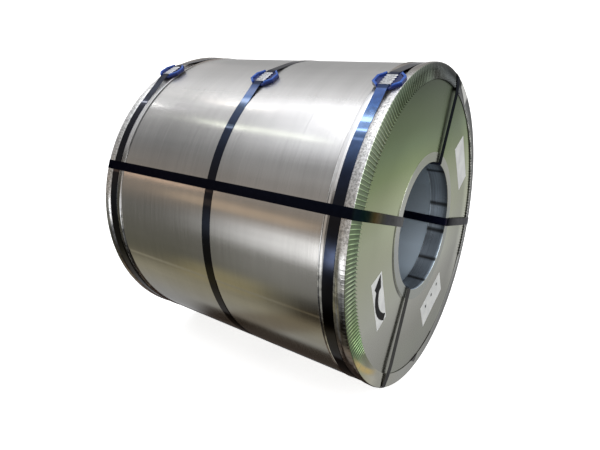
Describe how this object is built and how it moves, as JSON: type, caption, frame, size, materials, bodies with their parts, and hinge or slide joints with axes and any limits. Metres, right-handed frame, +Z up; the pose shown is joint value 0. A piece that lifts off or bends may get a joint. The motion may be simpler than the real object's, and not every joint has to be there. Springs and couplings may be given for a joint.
{
  "type": "steel coil",
  "caption": "Strapped and packed coil of bright steel strip, lying with its bore level, with pleated edge protectors, flat end discs and straps round and through it.",
  "frame": {"origin": "centre of the footprint on the floor that the coil lies on, straight under its middle", "axes": "+X along the bore towards the labelled front end, +Y across the coil towards its far side, +Z up"},
  "size_m": [1.1536, 1.248, 1.2466],
  "materials": {
    "coil_steel": "bright rolled strip, grain round the coil",
    "disc_steel": "glossy thin sheet with a greenish cast",
    "galvanised": "hot-dip galvanised, spangled",
    "bore_steel": "plain zinc-coated sheet",
    "strap_paint": "glossy blue-black painted steel strap",
    "seal_steel": "bright crimped sheet",
    "pad_plastic": "blue moulded plastic",
    "label_paper": "white paper label, bare"
  },
  "bodies": {
    "root": {"steel_coil": "coil_steel", "end_disc_front": "disc_steel", "inner_edge_protector_front": "bore_steel", "outer_edge_protector_front": "galvanised", "end_disc_back": "disc_steel", "inner_edge_protector_back": "bore_steel", "outer_edge_protector_back": "galvanised", "belly_strap_front": "strap_paint", "belly_seal_front": "seal_steel", "seal_pad_front": "pad_plastic", "belly_strap_middle": "strap_paint", "belly_seal_middle": "seal_steel", "seal_pad_middle": "pad_plastic", "belly_strap_back": "strap_paint", "belly_seal_back": "seal_steel", "seal_pad_back": "pad_plastic", "eye_strap_1": "strap_paint", "eye_seal_1": "seal_steel", "eye_strap_2": "strap_paint", "eye_seal_2": "seal_steel", "eye_strap_3": "strap_paint", "eye_seal_3": "seal_steel", "eye_strap_4": "strap_paint", "eye_seal_4": "seal_steel"}
  },
  "joints": []
}
